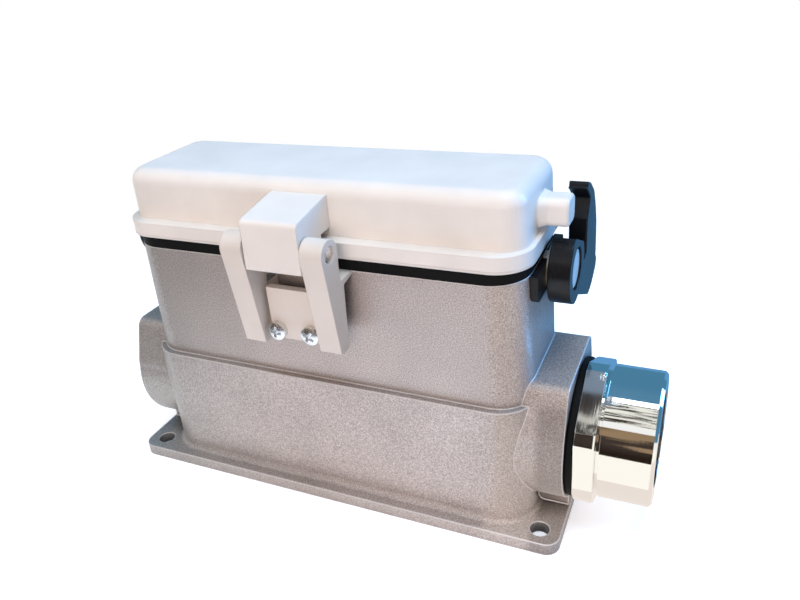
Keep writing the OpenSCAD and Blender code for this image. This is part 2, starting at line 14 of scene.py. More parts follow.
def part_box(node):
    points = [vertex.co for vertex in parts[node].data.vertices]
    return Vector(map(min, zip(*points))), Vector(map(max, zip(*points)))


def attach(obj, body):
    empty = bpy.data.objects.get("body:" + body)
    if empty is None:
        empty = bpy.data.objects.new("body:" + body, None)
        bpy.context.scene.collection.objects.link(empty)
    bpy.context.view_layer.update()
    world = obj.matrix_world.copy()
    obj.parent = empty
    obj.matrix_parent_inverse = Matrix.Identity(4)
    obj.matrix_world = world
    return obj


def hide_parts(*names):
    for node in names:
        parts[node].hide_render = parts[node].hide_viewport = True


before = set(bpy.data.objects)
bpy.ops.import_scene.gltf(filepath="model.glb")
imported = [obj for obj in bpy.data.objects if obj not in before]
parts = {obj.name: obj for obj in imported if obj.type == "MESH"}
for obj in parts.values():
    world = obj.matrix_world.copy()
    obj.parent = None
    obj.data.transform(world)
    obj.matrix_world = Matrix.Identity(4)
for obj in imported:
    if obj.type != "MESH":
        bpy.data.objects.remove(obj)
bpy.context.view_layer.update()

# %% [markdown]
# ## Camera
# The connector is seen from its hinge side, from above and from the gland's end. A camera is easiest to
# place by three angles and a point: the turn about Z, the height above the horizon and a small roll.

# %% Camera
def set_camera(place, turn, height, roll, lens):
    a, h, r = math.radians(turn), math.radians(height), math.radians(roll)
    right = Vector((math.cos(a), math.sin(a), 0))
    back = Vector((math.sin(a)*math.cos(h), -math.cos(a)*math.cos(h), math.sin(h)))
    up = right.cross(-back)
    right_rolled = math.cos(r)*right + math.sin(r)*up
    up_rolled = -math.sin(r)*right + math.cos(r)*up
    camera = bpy.data.objects.new("camera", bpy.data.cameras.new("camera"))
    camera.data.lens, camera.data.sensor_width = lens, 36
    camera.data.clip_start = 0.01
    turned = Matrix((right_rolled, up_rolled, back)).transposed().to_4x4()
    camera.matrix_world = Matrix.Translation(place) @ turned
    bpy.context.scene.collection.objects.link(camera)
    bpy.context.scene.camera = camera
    print("camera at", tuple(place), "lens", lens)


camera_place, camera_lens = Vector((0.1006, -0.1709, 0.1559)), 32.48
camera_turn, camera_height, camera_roll = 25.75, 27.18, -4.90
set_camera(camera_place, camera_turn, camera_height, camera_roll, camera_lens)

# %% [markdown]
# ## Node trees
# Floor, surround, cards and finishes are all small node trees. These helpers add one node each and lead
# its inputs to it, so that a tree reads as a few lines of what it does.

# %% Helpers for node trees
def mesh_piece(name, verts, faces):
    """A new object whose place is in its mesh."""
    mesh = bpy.data.meshes.new(name)
    mesh.from_pydata([Vector(v) for v in verts], [], faces)
    mesh.validate()
    piece = bpy.data.objects.new(name, mesh)
    bpy.context.scene.collection.objects.link(piece)
    return piece


def tree_of(owner):
    """The emptied node tree of a material or of the world."""
    owner.use_nodes = True
    nodes, links = owner.node_tree.nodes, owner.node_tree.links
    nodes.clear()
    return nodes, links


def maths(nodes, links, operation, a, b):
    node = nodes.new("ShaderNodeMath")
    node.operation = operation
    links.new(a, node.inputs[0])
    links.new(b, node.inputs[1])
    return node.outputs[0]


def smooth_step(nodes, links, source, start, end):
    """0 before start, 1 after end and a soft change between them."""
    node = nodes.new("ShaderNodeMapRange")
    node.interpolation_type = "SMOOTHSTEP"
    node.inputs["From Min"].default_value = start
    node.inputs["From Max"].default_value = end
    links.new(source, node.inputs["Value"])
    return node.outputs["Result"]


def ramp(nodes, links, source, stops):
    """A colour that follows a value through (place, colour) stops."""
    node = nodes.new("ShaderNodeValToRGB")
    while len(node.color_ramp.elements) > 1:
        node.color_ramp.elements.remove(node.color_ramp.elements[-1])
    node.color_ramp.elements[0].position = stops[0][0]
    node.color_ramp.elements[0].color = (*stops[0][1], 1)
    for place, colour in stops[1:]:
        node.color_ramp.elements.new(place).color = (*colour, 1)
    links.new(source, node.inputs["Fac"])
    return node.outputs["Color"]


def any_ray(nodes, links, *kinds):
    """1 for a ray of one of the named kinds, 0 for all others."""
    path = nodes.new("ShaderNodeLightPath")
    result = path.outputs[kinds[0]]
    for kind in kinds[1:]:
        result = maths(nodes, links, "MAXIMUM", result, path.outputs[kind])
    return result


def blend(nodes, links, amount, first, second):
    """One shader at amount 0, the other at amount 1."""
    node = nodes.new("ShaderNodeMixShader")
    links.new(amount, node.inputs["Fac"])
    links.new(first.outputs[0], node.inputs[1])
    links.new(second.outputs[0], node.inputs[2])
    return node


print("helpers ready")

# %% [markdown]
# ## Studio
# A pale floor and a white surround keep the eye on the object. The floor is matt paper. Where it is seen or
# mirrored it glows a little, so that it comes out white without a lamp strong enough to burn out the
# object, and it fades out into the surround, so that no horizon shows. The surround is white only to
# camera, glossy and transmission rays. What lights the object is softer: warm from the hinge side and blue
# from the gland's end, as in a room with one window.

# %% Floor and surround
paper_white, paper_glow = 0.93, 0.42
fade_start, fade_end = 0.13, 0.34
room_light, window_light = (1.0, 0.96, 0.93), (0.10, 0.28, 0.62)
towards_window = (0.70, 0.40, 0.50)


def make_floor(half_size):
    """A paper floor that fades out in a ring round the object."""
    h = half_size
    floor = mesh_piece("floor", [(-h, -h, 0), (h, -h, 0), (h, h, 0), (-h, h, 0)], [(0, 1, 2, 3)])
    paper = bpy.data.materials.new("studio_paper")
    nodes, links = tree_of(paper)
    out = nodes.new("ShaderNodeOutputMaterial")
    matt, glow = nodes.new("ShaderNodeBsdfDiffuse"), nodes.new("ShaderNodeEmission")
    matt.inputs["Color"].default_value = (paper_white, paper_white, paper_white, 1)
    glow.inputs["Color"].default_value = (1, 1, 1, 1)
    glow.inputs["Strength"].default_value = paper_glow
    bright = nodes.new("ShaderNodeAddShader")
    links.new(matt.outputs[0], bright.inputs[0])
    links.new(glow.outputs[0], bright.inputs[1])
    seen = any_ray(nodes, links, "Is Camera Ray", "Is Glossy Ray")
    look = blend(nodes, links, seen, matt, bright)
    place, far = nodes.new("ShaderNodeTexCoord"), nodes.new("ShaderNodeVectorMath")
    far.operation = "LENGTH"
    links.new(place.outputs["Object"], far.inputs[0])
    fade = smooth_step(nodes, links, far.outputs["Value"], fade_start, fade_end)
    faded = blend(nodes, links, fade, look, nodes.new("ShaderNodeBsdfTransparent"))
    links.new(faded.outputs[0], out.inputs["Surface"])
    floor.data.materials.append(paper)


def make_surround(light_level):
    """White where it is seen or mirrored, and a soft light of two colours for all else."""
    world = bpy.data.worlds.new("studio_air")
    bpy.context.scene.world = world
    nodes, links = tree_of(world)
    out = nodes.new("ShaderNodeOutputWorld")
    white_air, light_air = nodes.new("ShaderNodeBackground"), nodes.new("ShaderNodeBackground")
    white_air.inputs["Color"].default_value = (1, 1, 1, 1)
    light_air.inputs["Strength"].default_value = light_level
    way, side = nodes.new("ShaderNodeTexCoord"), nodes.new("ShaderNodeVectorMath")
    side.operation = "DOT_PRODUCT"
    side.inputs[1].default_value = towards_window
    links.new(way.outputs["Generated"], side.inputs[0])
    level = nodes.new("ShaderNodeMapRange")
    level.inputs["From Min"].default_value = -1
    links.new(side.outputs["Value"], level.inputs["Value"])
    tint = ramp(nodes, links, level.outputs["Result"], [(0.45, room_light), (0.80, window_light)])
    links.new(tint, light_air.inputs["Color"])
    seen = any_ray(nodes, links, "Is Camera Ray", "Is Glossy Ray", "Is Transmission Ray")
    mixed = blend(nodes, links, seen, light_air, white_air)
    links.new(mixed.outputs[0], out.inputs["Surface"])


bpy.context.scene.view_settings.view_transform = "Standard"
make_floor(0.6)
make_surround(0.34)
print("floor and surround made")

# %% [markdown]
# A broad lamp over the hinge side gives the warm front light, one overhead lights the cover, and a blue
# lamp from behind the gland's end cools the faces that look that way.

# %% Lamps
middle = Vector((0, 0, 0.05))


def lamp(name, place, size, power, colour):
    """A rectangular lamp that faces the middle of the object."""
    light = bpy.data.lights.new(name, "AREA")
    light.shape, light.size, light.size_y = "RECTANGLE", size[0], size[1]
    light.energy, light.color = power, colour
    holder = bpy.data.objects.new(name, light)
    holder.location = place
    holder.rotation_euler = (middle - Vector(place)).to_track_quat("-Z", "Y").to_euler()
    bpy.context.scene.collection.objects.link(holder)


lamp("front_lamp", (0.12, -0.84, 0.36), (0.5, 0.5), 4.3, (1.0, 0.82, 0.77))
lamp("top_lamp", (0.10, -0.02, 0.85), (0.7, 0.5), 6.6, (0.74, 0.86, 1.0))
lamp("end_lamp", (0.66, 0.42, 0.38), (0.30, 0.45), 5.4, (0.13, 0.45, 1.0))

# %% [markdown]
# Bright metal looks like metal only when it has something to mirror. Photographers stand coloured cards
# round it. These cards are seen by glossy rays alone, so they neither light the object nor show in a view.
# In front stand a dark one and a tan one, overhead a bright one with specks like a cluttered room, blue ones
# close the back and the gland's end, and cream ones lie on the floor under the gland.

# %% Cards for the bright metal
ceiling, on_floor, just_over_floor = 0.8, 0.004, 0.0045
warm_dark, tan, cream = (0.02, 0.012, 0.008), (0.30, 0.20, 0.11), (1.12, 1.07, 0.99)
room_white, shaded_cream, grey = (0.95, 0.93, 0.86), (0.92, 0.83, 0.77), (0.20, 0.21, 0.22)
cool_blue, grey_blue, floor_blue = (0.075, 0.23, 0.38), (0.19, 0.25, 0.34), (0.12, 0.33, 0.62)
speck_edge = 0.08
wide, gland_side, nut_side = (-1, 1.3), (0.012, 1.3), (-0.6, 0.012)
round_back, under_gland = (-2.5, 1.2), (0.05, 0.30)


def strip(x_span, lower, upper):
    """Corners of a strip along x, between two (y, z) edges."""
    low, high = x_span
    return [(low, *lower), (high, *lower), (high, *upper), (low, *upper)]


def reflection_card(name, corners, colour, specks=None):
    """A glowing card that only glossy rays meet; specks are (noise scale, share of dark)."""
    card = mesh_piece(name, corners, [tuple(range(len(corners)))])
    paint = bpy.data.materials.new(name + "_paint")
    nodes, links = tree_of(paint)
    out, glow = nodes.new("ShaderNodeOutputMaterial"), nodes.new("ShaderNodeEmission")
    glow.inputs["Color"].default_value = (*colour, 1)
    if specks:
        scale, dark_to = specks
        where, spots = nodes.new("ShaderNodeTexCoord"), nodes.new("ShaderNodeTexNoise")
        spots.inputs["Scale"].default_value = scale
        spots.inputs["Detail"].default_value = 3
        links.new(where.outputs["Object"], spots.inputs["Vector"])
        tone = ramp(nodes, links, spots.outputs["Fac"],
                    [(dark_to, warm_dark), (dark_to + speck_edge, colour)])
        links.new(tone, glow.inputs["Color"])
    links.new(glow.outputs[0], out.inputs["Surface"])
    card.data.materials.append(paint)
    card.visible_camera = card.visible_diffuse = card.visible_shadow = False
    card.visible_transmission = card.visible_volume_scatter = False


end_wall = [(1.2, -0.3, 0), (1.2, 1.2, 0), (1.2, 1.2, ceiling), (1.2, -0.3, ceiling)]
end_floor = [(0.10, -0.03, on_floor), (1.2, -0.03, on_floor), (1.2, 1.2, on_floor),
             (-0.3, 1.2, on_floor), (-0.3, 0.30, on_floor), (0.078, 0.035, on_floor)]
cards = [
    ("front_card", strip(wide, (-0.61, -0.06), (-0.61, 0.14)), warm_dark),
    ("tan_card", strip(wide, (-0.61, 0.14), (-0.55, 0.48)), tan, (9, 0.46)),
    ("room_card", strip(wide, (-0.50, 0.62), (-0.16, ceiling)), room_white, (26, 0.45)),
    ("edge_card", strip(gland_side, (-0.16, ceiling), (-0.07, ceiling)), room_white, (26, 0.45)),
    ("low_front_card", strip(wide, (-0.60, on_floor), (-0.22, on_floor)), warm_dark),
    ("nut_card", strip(nut_side, (-0.32, 0.79), (0.03, 0.79)), grey_blue, (14, 0.40)),
    ("left_card", strip((-0.7, -0.085), (-0.34, 0.005), (-0.075, 0.005)), grey),
    ("top_card", strip(round_back, (0.03, ceiling), (1.2, ceiling)), cool_blue),
    ("back_card", strip(round_back, (1.2, 0), (1.2, ceiling)), cool_blue),
    ("end_card", end_wall, cool_blue),
    ("low_end_card", end_floor, floor_blue),
    ("low_near_card", strip(under_gland, (-0.22, just_over_floor), (-0.03, just_over_floor)), cream),
    ("under_card", strip(under_gland, (-0.03, just_over_floor), (0.03, just_over_floor)), shaded_cream)]
for card in cards:
    reflection_card(*card)
print("reflection cards:", len(cards))

# %% [markdown]
# ## Finishes
# Every finish starts from the same plan: a Principled shader, an object-space noise that varies its colour
# and roughness a little, and a Bevel node that softens the sharp CAD edges as a casting or moulding has
# them. The helpers below build that plan; each finish then adds what is its own.

# %% A base for all finishes
def finish_base(name, colour, roughness, metallic=0.0, edge=0.0003):
    """A Principled material whose edges are rounded by the length edge."""
    material = bpy.data.materials.new(name)
    nodes, links = tree_of(material)
    out = nodes.new("ShaderNodeOutputMaterial")
    shader = nodes.new("ShaderNodeBsdfPrincipled")
    shader.inputs["Base Color"].default_value = (*colour, 1)
    shader.inputs["Roughness"].default_value = roughness
    shader.inputs["Metallic"].default_value = metallic
    round_edge = nodes.new("ShaderNodeBevel")
    round_edge.samples = 6
    round_edge.inputs["Radius"].default_value = edge
    links.new(shader.outputs[0], out.inputs["Surface"])
    where = nodes.new("ShaderNodeTexCoord").outputs["Object"]
    return material, nodes, links, shader, round_edge.outputs["Normal"], where


def noise(nodes, links, where, scale, detail=2.0, rough=0.5):
    node = nodes.new("ShaderNodeTexNoise")
    node.inputs["Scale"].default_value = scale
    node.inputs["Detail"].default_value = detail
    node.inputs["Roughness"].default_value = rough
    links.new(where, node.inputs["Vector"])
    return node.outputs["Fac"]


def spread(nodes, links, source, low, high):
    """A value from 0 to 1 carried onto the range from low to high."""
    node = nodes.new("ShaderNodeMapRange")
    node.inputs["To Min"].default_value = low
    node.inputs["To Max"].default_value = high
    links.new(source, node.inputs["Value"])
    return node.outputs["Result"]


def bump(nodes, links, source, normal, strength, depth):
    node = nodes.new("ShaderNodeBump")
    node.inputs["Strength"].default_value = strength
    node.inputs["Distance"].default_value = depth
    links.new(source, node.inputs["Height"])
    links.new(normal, node.inputs["Normal"])
    return node.outputs["Normal"]


def product(nodes, links, *colours):
    """All the colours multiplied together."""
    result = colours[0]
    for colour in colours[1:]:
        node = nodes.new("ShaderNodeMix")
        node.data_type, node.blend_type = "RGBA", "MULTIPLY"
        node.inputs["Factor"].default_value = 1.0
        links.new(result, node.inputs["A"])
        links.new(colour, node.inputs["B"])
        result = node.outputs["Result"]
    return result


print("finish helpers ready")

# %% [markdown]
# ### Hammered grey paint
# The housing is die-cast and carries a metallic grey paint that dries in small grains. Two noises do it:
# a fine one for the grain's light and dark specks, and a wide one for the slow change over the casting.
# Painted shade makes the paint darker and cooler towards the end away from the gland and darker on the
# gland's boss, and painted shade darkens deep corners. Where the Bevel node bends the surface, at the
# casting's edges, a painted highlight lightens the paint.

# %% Housing paint
grain_scale, dent_scale, cloud_scale = 2700, 900, 45
dark_grain, mid_grain, bright_grain = (0.29, 0.248, 0.225), (0.475, 0.41, 0.372), (0.72, 0.63, 0.58)
# The last two tones are painted shade: a darker, cooler end of the housing away from the gland, and a darker
# gland boss.
full, cloud_shade, painted_side_shade_tint, painted_boss_shade_tone = (1.0,)*3, (0.90,)*3, (0.80, 0.88, 0.90), (0.68,)*3
# Painted shade for deep corners, and the reach at which it fades.
painted_corner_shade_tone, painted_shade_reach = (0.05, 0.045, 0.04), 0.009
# A painted highlight for the casting's edges.
painted_edge_highlight = (0.80, 0.78, 0.76, 1)
# Where the painted side shade starts and ends along x.
side_shade_x, side_lit_x = -0.075, 0.0
# Where the painted shade on the gland's boss starts along x and z.
boss_x, boss_z = (0.0625, 0.0655), (0.0445, 0.0400)
# How far the Bevel normal must bend before the painted edge highlight shows.
highlight_from, highlight_to = 0.995, 0.90


def hammered_paint():
    m, nodes, links, shader, edge, where = finish_base("hammered_grey_paint", (0.48, 0.42, 0.38), 0.40,
                                                       metallic=0.5, edge=0.0007)
    grain = noise(nodes, links, where, grain_scale, 3.0, 0.7)
    cloud = noise(nodes, links, where, cloud_scale, 2.0, 0.5)
    specks = ramp(nodes, links, grain, [(0.32, dark_grain), (0.50, mid_grain), (0.68, bright_grain)])
    clouds = ramp(nodes, links, cloud, [(0.35, cloud_shade), (0.65, full)])
    axes = nodes.new("ShaderNodeSeparateXYZ")
    links.new(where, axes.inputs["Vector"])
    # Painted shade: the paint darker and cooler towards the end away from the gland.
    side_lit_share = smooth_step(nodes, links, axes.outputs["X"], side_shade_x, side_lit_x)
    painted_side_shade = ramp(nodes, links, side_lit_share, [(0.0, painted_side_shade_tint), (1.0, full)])
    # Painted shade on the gland's boss, where less light falls on it.
    at_boss = maths(nodes, links, "MULTIPLY", smooth_step(nodes, links, axes.outputs["X"], *boss_x),
                    smooth_step(nodes, links, axes.outputs["Z"], *boss_z))
    painted_boss_shade = ramp(nodes, links, at_boss, [(0.0, full), (1.0, painted_boss_shade_tone)])
    # Painted shade in deep corners and crevices, found by ambient occlusion.
    hollow = nodes.new("ShaderNodeAmbientOcclusion")
    hollow.samples = 8
    hollow.inputs["Distance"].default_value = painted_shade_reach
    corners = ramp(nodes, links, hollow.outputs["AO"], [(0.12, painted_corner_shade_tone), (0.62, full)])
    # Painted highlight along the edges, where the Bevel normal bends away from the face.
    bend, face = nodes.new("ShaderNodeVectorMath"), nodes.new("ShaderNodeNewGeometry")
    bend.operation = "DOT_PRODUCT"
    links.new(edge, bend.inputs[0])
    links.new(face.outputs["Normal"], bend.inputs[1])
    painted_edge_highlight_mix = nodes.new("ShaderNodeMix")
    painted_edge_highlight_mix.data_type = "RGBA"
    painted_edge_highlight_mix.inputs["B"].default_value = painted_edge_highlight
    links.new(smooth_step(nodes, links, bend.outputs["Value"], highlight_from, highlight_to), painted_edge_highlight_mix.inputs["Factor"])
    links.new(product(nodes, links, specks, clouds, painted_side_shade, painted_boss_shade, corners), painted_edge_highlight_mix.inputs["A"])
    links.new(painted_edge_highlight_mix.outputs["Result"], shader.inputs["Base Color"])
    links.new(spread(nodes, links, grain, 0.30, 0.56), shader.inputs["Roughness"])
    dented = bump(nodes, links, noise(nodes, links, where, dent_scale, 2.0, 0.55), edge, 0.35, 0.00015)
    grained = bump(nodes, links, grain, dented, 0.30, 0.00008)
    links.new(grained, shader.inputs["Normal"])
    return m


housing_paint = hammered_paint()
print("paint:", housing_paint.name)

# %% [markdown]
# ### Moulded plastics
# The cover is a warm white plastic with a fine spark-eroded grain, the bracket the same in beige, and the
# lever a black glass-filled plastic with a slight gloss. One function serves them all, and the rubbers too.

# %% Plastics and rubbers
def moulded(name, colour, roughness, grain=2200, grain_depth=0.00004, colour_spread=0.05, edge=0.0004,
            shine=0.5):
    """A moulded material; shine is the strength of its mirror light, where 0.5 is common plastic."""
    m, nodes, links, shader, edge_normal, where = finish_base(name, colour, roughness, edge=edge)
    shader.inputs["Specular IOR Level"].default_value = shine
    slow = noise(nodes, links, where, 60, 3.0)
    darker = tuple(c*(1 - colour_spread) for c in colour)
    lighter = tuple(min(1.0, c*(1 + colour_spread)) for c in colour)
    links.new(ramp(nodes, links, slow, [(0.3, darker), (0.7, lighter)]), shader.inputs["Base Color"])
    links.new(spread(nodes, links, slow, roughness - 0.05, roughness + 0.06), shader.inputs["Roughness"])
    skin = bump(nodes, links, noise(nodes, links, where, grain), edge_normal, 0.25, grain_depth)
    links.new(skin, shader.inputs["Normal"])
    return m


cover_plastic = moulded("cream_cover_plastic", (0.80, 0.745, 0.675), 0.34, edge=0.0006)
bracket_plastic = moulded("beige_bracket_plastic", (0.70, 0.63, 0.555), 0.40)
lever_plastic = moulded("black_lever_plastic", (0.005, 0.006, 0.008), 0.28, colour_spread=0.2,
                        edge=0.0007, shine=0.30)
pivot_plastic = moulded("black_pivot_plastic", (0.007, 0.007, 0.008), 0.42, colour_spread=0.2, shine=0.3)
seal_rubber = moulded("black_seal_rubber", (0.003, 0.003, 0.003), 0.60, 1400, 0.00008, 0.2, shine=0.12)
insert_plastic = moulded("grey_insert_plastic", (0.16, 0.16, 0.17), 0.45)
print("moulded finishes:", cover_plastic.name, bracket_plastic.name, lever_plastic.name,
      pivot_plastic.name, seal_rubber.name, insert_plastic.name)

# %% [markdown]
# ### Metals
# Turned parts show rings round their axis, plated screws a soft brushed look. A noise squeezed along one
# axis gives the rings: it barely changes round the axis and changes fast along it.

# %% Metals
squeeze = 0.02


def metal(name, colour, roughness, ring_axis=None, edge=0.0002, ring_scale=900, streak=0.06):
    """A bare metal, with turned rings round ring_axis or an even grain; streak varies the roughness."""
    m, nodes, links, shader, edge_normal, where = finish_base(name, colour, roughness, metallic=1.0,
                                                              edge=edge)
    stretch = nodes.new("ShaderNodeMapping")
    factors = [1.0]*3 if ring_axis is None else [squeeze]*3
    if ring_axis is not None:
        factors[ring_axis] = 1.0
    stretch.inputs["Scale"].default_value = factors
    links.new(where, stretch.inputs["Vector"])
    rings = noise(nodes, links, stretch.outputs["Vector"], ring_scale, 3.0)
    gloss = spread(nodes, links, rings, max(0.02, roughness - streak), roughness + streak)
    links.new(gloss, shader.inputs["Roughness"])
    links.new(bump(nodes, links, rings, edge_normal, 0.12, 0.00003), shader.inputs["Normal"])
    return m


gland_chrome = metal("bright_gland_plating", (0.88, 0.88, 0.86), 0.05, ring_axis=0, ring_scale=1500,
                     streak=0.02)
zinc_steel = metal("zinc_plated_steel", (0.74, 0.75, 0.76), 0.26, ring_scale=2500)
rivet_steel = metal("dull_rivet_steel", (0.86, 0.87, 0.88), 0.50, ring_scale=2500)
spring_steel = metal("drawn_spring_steel", (0.52, 0.49, 0.43), 0.30, ring_axis=0)
contact_metal = metal("plated_contact_metal", (0.83, 0.66, 0.36), 0.25, ring_axis=2)
print("metals:", gland_chrome.name, zinc_steel.name, rivet_steel.name, spring_steel.name,
      contact_metal.name)

# %% [markdown]
# Each CAD solid gets the finish of its real piece.

# %% Finishes on the solids
def give_finish(names, material):
    for name in names:
        mesh = parts[name].data
        mesh.materials.clear()
        mesh.materials.append(material)


give_finish(["base_housing"], housing_paint)
give_finish(["cover"], cover_plastic)
give_finish(["hinge_bracket"], bracket_plastic)
give_finish(["locking_lever"], lever_plastic)
give_finish(["pivot_plate_right", "pivot_plate_left"], pivot_plastic)
give_finish(["rim_seal", "gland_seal_ring", "gland_grommet"], seal_rubber)
give_finish(["gland_body", "gland_sleeve", "gland_thrust_ring"], gland_chrome)
give_finish(["bracket_screws", "hinge_pin", "terminal_screws", "earth_plates", "earth_screws",
             "insert_screws"], zinc_steel)
give_finish(["pivot_rivet_right", "pivot_rivet_left"], rivet_steel)
give_finish(["hinge_spring", "spring_washer_right", "spring_washer_left"], spring_steel)
give_finish(["contact_insert"], insert_plastic)
give_finish(["socket_contacts"], contact_metal)
print("finished solids:", len(parts))

# %% [markdown]
# ## Forms that repeat or follow a path
# Springs, collars and moulding lines are one small shape carried along a path or set down many times. A
# Geometry Nodes tree states that rule once, with named inputs. Each tree is evaluated here and its result
# kept as a plain mesh, so what moves later is only a mesh on a body.

# %% Trees and their results
quarter_turn = (0, math.pi/2, 0)


def tree_with(name, inputs):
    """A Geometry Nodes tree with named inputs and a material input called Finish."""
    tree = bpy.data.node_groups.new(name, "GeometryNodeTree")
    tree.interface.new_socket("Geometry", in_out="OUTPUT", socket_type="NodeSocketGeometry")
    for label, kind in inputs:
        tree.interface.new_socket(label, in_out="INPUT", socket_type="NodeSocket" + kind)
    tree.interface.new_socket("Finish", in_out="INPUT", socket_type="NodeSocketMaterial")
    return tree, tree.nodes.new("NodeGroupInput").outputs, tree.links


def end_tree(tree, given, shape, smooth=True):
    """Real geometry, its shading and its material, led to the tree's output."""
    links = tree.links
    realize = tree.nodes.new("GeometryNodeRealizeInstances")
    shade = tree.nodes.new("GeometryNodeSetShadeSmooth")
    shade.inputs["Shade Smooth"].default_value = smooth
    finish = tree.nodes.new("GeometryNodeSetMaterial")
    out = tree.nodes.new("NodeGroupOutput")
    links.new(shape, realize.inputs["Geometry"])
    links.new(realize.outputs["Geometry"], shade.inputs["Geometry"])
    links.new(shade.outputs["Geometry"], finish.inputs["Geometry"])
    links.new(given["Finish"], finish.inputs["Material"])
    links.new(finish.outputs["Geometry"], out.inputs["Geometry"])
    return tree


def moved(tree, shape, place=None, turn=(0, 0, 0)):
    node = tree.nodes.new("GeometryNodeTransform")
    node.inputs["Rotation"].default_value = turn
    tree.links.new(shape, node.inputs["Geometry"])
    if place is not None:
        tree.links.new(place, node.inputs["Translation"])
    return node.outputs["Geometry"]


def joined(tree, *shapes):
    node = tree.nodes.new("GeometryNodeJoinGeometry")
    for shape in shapes:
        tree.links.new(shape, node.inputs["Geometry"])
    return node.outputs["Geometry"]


def circle(tree, radius, points):
    node = tree.nodes.new("GeometryNodeCurvePrimitiveCircle")
    node.inputs["Resolution"].default_value = points
    tree.links.new(radius, node.inputs["Radius"])
    return node.outputs["Curve"]


def rounded_rectangle(tree, width, height, corner, steps):
    """A flat rectangle whose corners are rounded in a number of steps."""
    outline = tree.nodes.new("GeometryNodeCurvePrimitiveQuadrilateral")
    tree.links.new(width, outline.inputs["Width"])
    tree.links.new(height, outline.inputs["Height"])
    fillet = tree.nodes.new("GeometryNodeFilletCurve")
    fillet.mode = "POLY"
    fillet.inputs["Count"].default_value = steps
    tree.links.new(outline.outputs["Curve"], fillet.inputs["Curve"])
    tree.links.new(corner, fillet.inputs["Radius"])
    return fillet.outputs["Curve"]


def swept(tree, path, section, caps=False):
    """A section carried along a path."""
    node = tree.nodes.new("GeometryNodeCurveToMesh")
    node.inputs["Fill Caps"].default_value = caps
    tree.links.new(path, node.inputs["Curve"])
    tree.links.new(section, node.inputs["Profile Curve"])
    return node.outputs["Mesh"]


def row_of_points(tree, given):
    """Count points from First, each a Step on from the last."""
    node = tree.nodes.new("GeometryNodeMeshLine")
    for label, socket in (("Count", "Count"), ("First", "Start Location"), ("Step", "Offset")):
        tree.links.new(given[label], node.inputs[socket])
    return node.outputs["Mesh"]


def set_down(tree, shape, points):
    """One copy of the shape on each point."""
    node = tree.nodes.new("GeometryNodeInstanceOnPoints")
    tree.links.new(points, node.inputs["Points"])
    tree.links.new(shape, node.inputs["Instance"])
    return node.outputs["Instances"]


def grown(name, tree, values, body):
    """Run a tree with these values and keep its result as a plain mesh on a body."""
    host = bpy.data.objects.new(name + "_host", bpy.data.meshes.new(name + "_host"))
    bpy.context.scene.collection.objects.link(host)
    maker = host.modifiers.new("maker", "NODES")
    maker.node_group = tree
    for socket in tree.interface.items_tree:
        if socket.in_out == "INPUT" and socket.name in values:
            maker[socket.identifier] = values[socket.name]
    evaluated = host.evaluated_get(bpy.context.evaluated_depsgraph_get())
    mesh = bpy.data.meshes.new_from_object(evaluated)
    bpy.data.objects.remove(host)
    piece = bpy.data.objects.new(name, mesh)
    bpy.context.scene.collection.objects.link(piece)
    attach(piece, body)
    print(name, len(mesh.polygons), "faces")
    return piece


print("tree helpers ready")

# %% [markdown]
# ### Hinge spring
# The cover's torsion spring is one drawn wire: close turns round the hinge pin and two straight legs that
# push the cover and the bracket apart. A spiral curve gives the turns, two lines the legs, and a small
# circle carried along them the wire. It stands for the CAD coils, and it stays within them.

# %% Spring wire
def wire_tree():
    """Turns round the x axis with a leg at each end."""
    tree, given, links = tree_with("wire_of_turns", [
        ("Turns", "Float"), ("Coil radius", "Float"), ("Wire radius", "Float"), ("Length", "Float"),
        ("Place", "Vector"), ("Leg", "Vector"), ("Leg length", "Float")])
    spiral = tree.nodes.new("GeometryNodeCurveSpiral")
    spiral.inputs["Resolution"].default_value = 28
    for label in ("Start Radius", "End Radius"):
        links.new(given["Coil radius"], spiral.inputs[label])
    links.new(given["Turns"], spiral.inputs["Rotations"])
    links.new(given["Length"], spiral.inputs["Height"])

    def at_end(end):
        half, point = tree.nodes.new("ShaderNodeMath"), tree.nodes.new("ShaderNodeCombineXYZ")
        half.operation = "MULTIPLY"
        half.inputs[1].default_value = 0.5*end
        links.new(given["Length"], half.inputs[0])
        links.new(half.outputs[0], point.inputs["Z"])
        return point

    def leg_at(end):
        start, leg = at_end(end), tree.nodes.new("GeometryNodeCurvePrimitiveLine")
        leg.mode = "DIRECTION"
        links.new(given["Coil radius"], start.inputs["X"])
        links.new(start.outputs["Vector"], leg.inputs["Start"])
        links.new(given["Leg"], leg.inputs["Direction"])
        links.new(given["Leg length"], leg.inputs["Length"])
        return leg.outputs["Curve"]
    turns = moved(tree, spiral.outputs["Curve"], at_end(-1).outputs["Vector"])
    wire = moved(tree, joined(tree, turns, leg_at(-1), leg_at(1)), given["Place"], quarter_turn)
    return end_tree(tree, given, swept(tree, wire, circle(tree, given["Wire radius"], 10), caps=True))


spring_low, spring_high = (Vector(v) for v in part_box("hinge_spring"))
wire_r, leg_length = 0.0003, 0.0011
spring_wire = grown("hinge_spring_wire", wire_tree(), {
    "Turns": 11.0, "Coil radius": (spring_high.z - spring_low.z)/2 - wire_r, "Wire radius": wire_r,
    "Length": spring_high.x - spring_low.x - 2*wire_r, "Place": (spring_low + spring_high)/2,
    "Leg": Vector((0, -1, 0)), "Leg length": leg_length, "Finish": spring_steel}, "base")
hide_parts("hinge_spring")

# %% [markdown]
# ### Line left by the mould
# A moulded lid shows a fine witness line where the two mould halves met. On this cover it runs round the
# lip. A rounded rectangle is the path, and a hair-thin circle, half sunk in the lip, the section.

